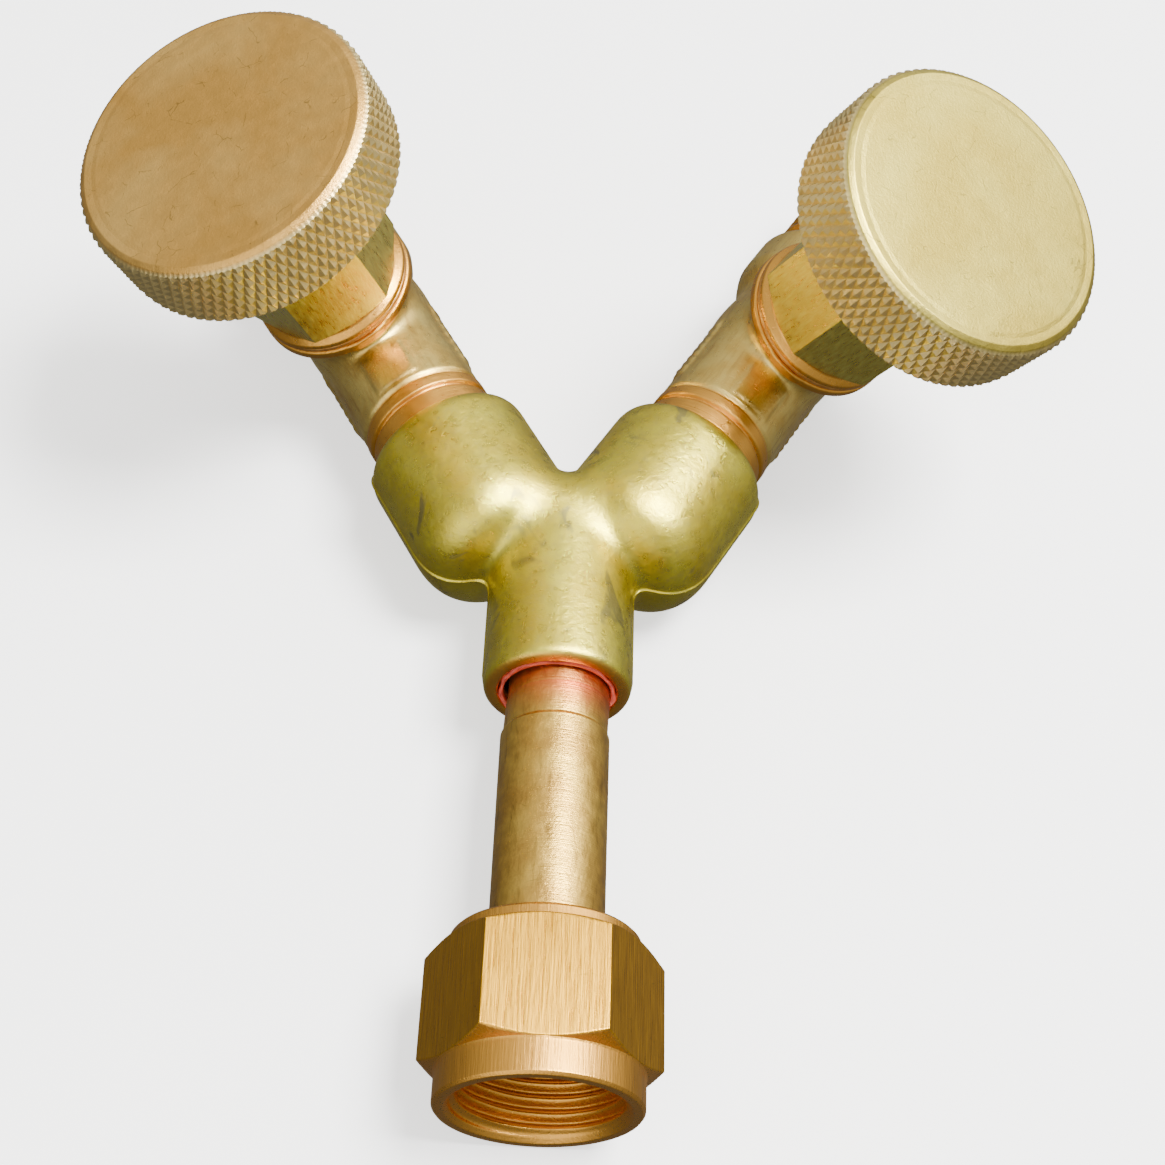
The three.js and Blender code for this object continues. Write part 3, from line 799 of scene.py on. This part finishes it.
def tube_brass():
    look = Finish("tube_brass", 11.0)
    tone = look.mix(rgb(210, 164, 78), rgb(236, 194, 92), look.span(look.noise(0.25, 4), 0.36, 0.64))
    streaks = look.noise(0.9, 5, 0.65, 0.5, look.stretched((1.4, 1.4, 0.25)))
    tone = look.mix(tone, rgb(140, 108, 54), look.span(streaks, 0.52, 0.74, 0, 0.75))
    tone = look.mix(tone, GRIME, look.math("MULTIPLY", look.cracks(0.22, 0.010, 0.58), 0.35))
    tone = look.mix(tone, rgb(222, 106, 58), look.zone())
    rings = look.noise(5, 2, 0.5, 0, look.stretched((0.02, 0.02, 2.4)))
    rough = look.span(look.noise(1.0, 4), 0.3, 0.7, 0.28, 0.40)
    return look.finish(tone, rough, look.math("ADD", rings, look.noise(3, 4)), 0.3)


def knob_brass(name, seed, light, dark):
    look = Finish(name, seed)
    clouds = look.noise(0.09, 4, 0.55, 0.4)
    tone = look.mix(dark, light, look.span(clouds, 0.36, 0.64))
    fine = look.noise(5.5, 4, 0.7)
    tone = look.mix(tone, rgb(156, 118, 52), look.span(fine, 0.6, 0.8, 0, 0.5))
    tone = look.mix(tone, GRIME, look.math("MULTIPLY", look.cracks(0.28, 0.012, 0.52), 0.55))
    tone = look.mix(tone, GRIME, look.math("MULTIPLY", look.cracks(0.75, 0.014, 0.6), 0.45))
    tone = look.mix(tone, rgb(250, 226, 156), look.zone())
    rings = look.noise(3.2, 2, 0.5)
    rough = look.span(look.noise(0.7, 4), 0.3, 0.7, 0.30, 0.42)
    return look.finish(tone, rough, look.math("ADD", fine, rings), 0.25)


def bar_brass(name, seed, light, dark, along):
    """Drawn bar: brushed along its length on the flats, turned elsewhere"""
    look = Finish(name, seed)
    brushed = look.noise(2.2, 4, 0.6, 0, look.stretched(along))
    tone = look.mix(dark, light, look.span(brushed, 0.35, 0.65))
    tone = look.mix(tone, GRIME, look.span(look.noise(2.4, 4, 0.7), 0.66, 0.76, 0, 0.45))
    tone = look.mix(tone, GRIME, look.math("MULTIPLY", look.cracks(0.5, 0.012, 0.58), 0.5))
    tone = look.mix(COPPERY, tone, look.zone())
    rough = look.span(brushed, 0.3, 0.7, 0.24, 0.40)
    return look.finish(tone, rough, brushed, 0.35)


def plain_turned(name, light, dark, metallic=1.0, rough=(0.25, 0.4)):
    look = Finish(name, 5.0)
    tone = look.mix(dark, light, look.span(look.noise(0.8, 4), 0.35, 0.65))
    rings = look.noise(4, 3, 0.5, 0, look.stretched((0.05, 0.05, 2.5)))
    return look.finish(tone, look.span(rings, 0.3, 0.7, *rough), rings, 0.2, metallic)


def floor_material():
    look = Finish("pale_floor")
    tone = look.mix(rgb(250, 250, 249), rgb(246, 246, 245), look.noise(0.02, 3))
    look.shader.inputs["Emission Color"].default_value = (1, 1, 1, 1)
    look.shader.inputs["Emission Strength"].default_value = FLOOR_GLOW
    return look.finish(tone, look.span(look.noise(0.1, 2), 0.3, 0.7, 0.7, 0.8), None, 0, 0.0)


# ---------------------------------------------------------------------------------------------
# Pieces on their bodies
# ---------------------------------------------------------------------------------------------


def fit(obj, material, body, slot, *nodes):
    """Paints a piece, puts it on its body and lets it stand for its CAD nodes"""
    obj.data.materials.append(material)
    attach(obj, body)
    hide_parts(*nodes)


turned_brass = plain_turned("turned_brass", rgb(236, 192, 104), rgb(206, 158, 74))
copper = plain_turned("gasket_copper", rgb(230, 176, 104), rgb(210, 150, 80), 1.0, (0.35, 0.5))
rubber = plain_turned("o_ring_rubber", rgb(40, 40, 40), rgb(26, 26, 26), 0.0, (0.5, 0.65))
nylon = plain_turned("seat_nylon", rgb(238, 234, 220), rgb(226, 220, 204), 0.0, (0.4, 0.5))
sealant_red = plain_turned("sealant_red", rgb(208, 74, 44), rgb(150, 44, 26), 0.0, (0.3, 0.5))
nut_brass = bar_brass("nut_brass", 7.0, rgb(222, 166, 44), rgb(208, 150, 36), (2.6, 2.6, 0.12))

fit(make_wye(), forged_brass(), "splitter_frame", "forged_brass", "wye_body")
fit(make_nut(), nut_brass, "inlet_nut", "nut_brass", "inlet_nut")
fit(make_nipple(), tube_brass(), "splitter_frame", "satin_brass", "inlet_nipple")
fit(make_sealant(), sealant_red, "splitter_frame", "sealant", "inlet_thread_sealant")

KNOB_TONES = {
    "left": (rgb(240, 194, 108), rgb(222, 170, 84)),
    "right": (rgb(208, 190, 92), rgb(192, 170, 72)),
}
for number, side in enumerate(SIDES):
    seed = 20.0 + 13 * number
    seat, spindle = side + "_valve_seat", side + "_valve_spindle"
    bonnet_name, along_bar = side + "_bonnet_brass", (1.2, 1.2, 0.3)
    hexagon = bar_brass(bonnet_name, seed, rgb(246, 234, 126), rgb(232, 210, 100), along_bar)
    body_brass = satin_brass(side + "_satin_brass", seed)
    light, dark = KNOB_TONES[side]
    knob_finish = knob_brass(side + "_knob_brass", seed, light, dark)
    fit(make_body(side), body_brass, "splitter_frame", "satin_brass", side + "_valve_body")
    fit(make_bonnet(side), hexagon, "splitter_frame", "bar_brass", side + "_bonnet")
    fit(make_gasket(side), copper, "splitter_frame", "gasket_copper", side + "_bonnet_gasket")
    fit(make_stem(side), turned_brass, spindle, "turned_brass", side + "_stem")
    for label, height in O_RING_HEIGHTS.items():
        node = side + "_stem_o_ring_" + label
        fit(make_o_ring(side, label, height), rubber, spindle, "o_ring_rubber", node)
    fit(make_holder(side), turned_brass, seat, "turned_brass", side + "_seat_holder")
    fit(make_disc(side), nylon, seat, "seat_nylon", side + "_seat_disc")
    fit(make_knob(side), knob_finish, spindle, "knob_brass", side + "_knob")

# ---------------------------------------------------------------------------------------------
# Floor, light and camera
# ---------------------------------------------------------------------------------------------

FLOOR_SIZE = 30.0  # metres
FLOOR_GLOW = 1.3


def make_floor():
    half = FLOOR_SIZE / 2 / MM
    corners = [(-half, -half, 0), (half, -half, 0), (half, half, 0), (-half, half, 0)]
    floor = new_object("floor", corners, [(0, 1, 2, 3)], Matrix.Identity(4))
    floor.data.materials.append(floor_material())
    floor.visible_glossy = False


def area_light(name, energy, size, place, target):
    """A square softbox at place, aimed at target, both in metres"""
    data = bpy.data.lights.new(name, "AREA")
    data.energy = energy
    data.size = size
    light = bpy.data.objects.new(name, data)
    bpy.context.scene.collection.objects.link(light)
    place, target = Vector(place), Vector(target)
    aim = (target - place).to_track_quat("-Z", "Y").to_matrix().to_4x4()
    light.matrix_world = Matrix.Translation(place) @ aim
    return light


def make_world():
    """A studio that is brightest overhead, a little right and back, and dim low down"""
    world = bpy.data.worlds.new("studio")
    bpy.context.scene.world = world
    world.use_nodes = True
    tree = world.node_tree
    background = tree.nodes["Background"]
    place = tree.nodes.new("ShaderNodeTexCoord").outputs["Generated"]
    lean = tree.nodes.new("ShaderNodeVectorMath")
    lean.operation = "DOT_PRODUCT"
    lean.inputs[1].default_value = (0.2, 0.15, 0.97)
    tree.links.new(place, lean.inputs[0])
    ramp = tree.nodes.new("ShaderNodeValToRGB")
    stops = ((0.0, 0.12), (0.42, 0.24), (0.6, 0.5), (0.78, 0.76), (0.9, 0.88), (1.0, 1.5))
    while len(ramp.color_ramp.elements) < len(stops):
        ramp.color_ramp.elements.new(0.5)
    for element, (position, level) in zip(ramp.color_ramp.elements, stops):
        element.position = position
        element.color = (level, level * 0.99, level * 0.95, 1)
    spread = tree.nodes.new("ShaderNodeMapRange")
    spread.inputs["From Min"].default_value = -1
    tree.links.new(lean.outputs["Value"], spread.inputs["Value"])
    tree.links.new(spread.outputs[0], ramp.inputs["Fac"])
    tree.links.new(ramp.outputs["Color"], background.inputs["Color"])
    background.inputs["Strength"].default_value = 1.0


SENSOR_WIDTH = 36
LENS = 56.24
NEAREST = 0.01  # metres
CAMERA_FROM_MOUTH = (-3.100, -54.502, 155.474)
CAMERA_TURNS = ((-3.21, "Z"), (1.58, "Y"), (-35.61, "X"))


def make_camera():
    """Looks down at the splitter over the nut's mouth"""
    data = bpy.data.cameras.new("camera")
    data.sensor_width = SENSOR_WIDTH
    data.lens = LENS
    data.clip_start = NEAREST
    camera = bpy.data.objects.new("camera", data)
    bpy.context.scene.collection.objects.link(camera)
    from_mouth = Vector(CAMERA_FROM_MOUTH) * MM
    rotation = Matrix.Identity(3)
    for degrees, axis in CAMERA_TURNS:
        rotation = rotation @ Matrix.Rotation(math.radians(degrees), 3, axis)
    camera.matrix_world = Matrix.Translation(nut_mouth + from_mouth) @ rotation.transposed().to_4x4()
    bpy.context.scene.camera = camera


make_floor()
make_world()
area_light("overhead_softbox", 12, 0.26, (0.25, 0.0, 0.6), (0, 0, 0))
area_light("back_right_softbox", 1.2, 0.4, (0.45, 0.35, 0.4), (0, 0, 0.02))
area_light("front_fill", 1.5, 0.6, (-0.3, -0.5, 0.35), (0, 0, 0))
make_camera()
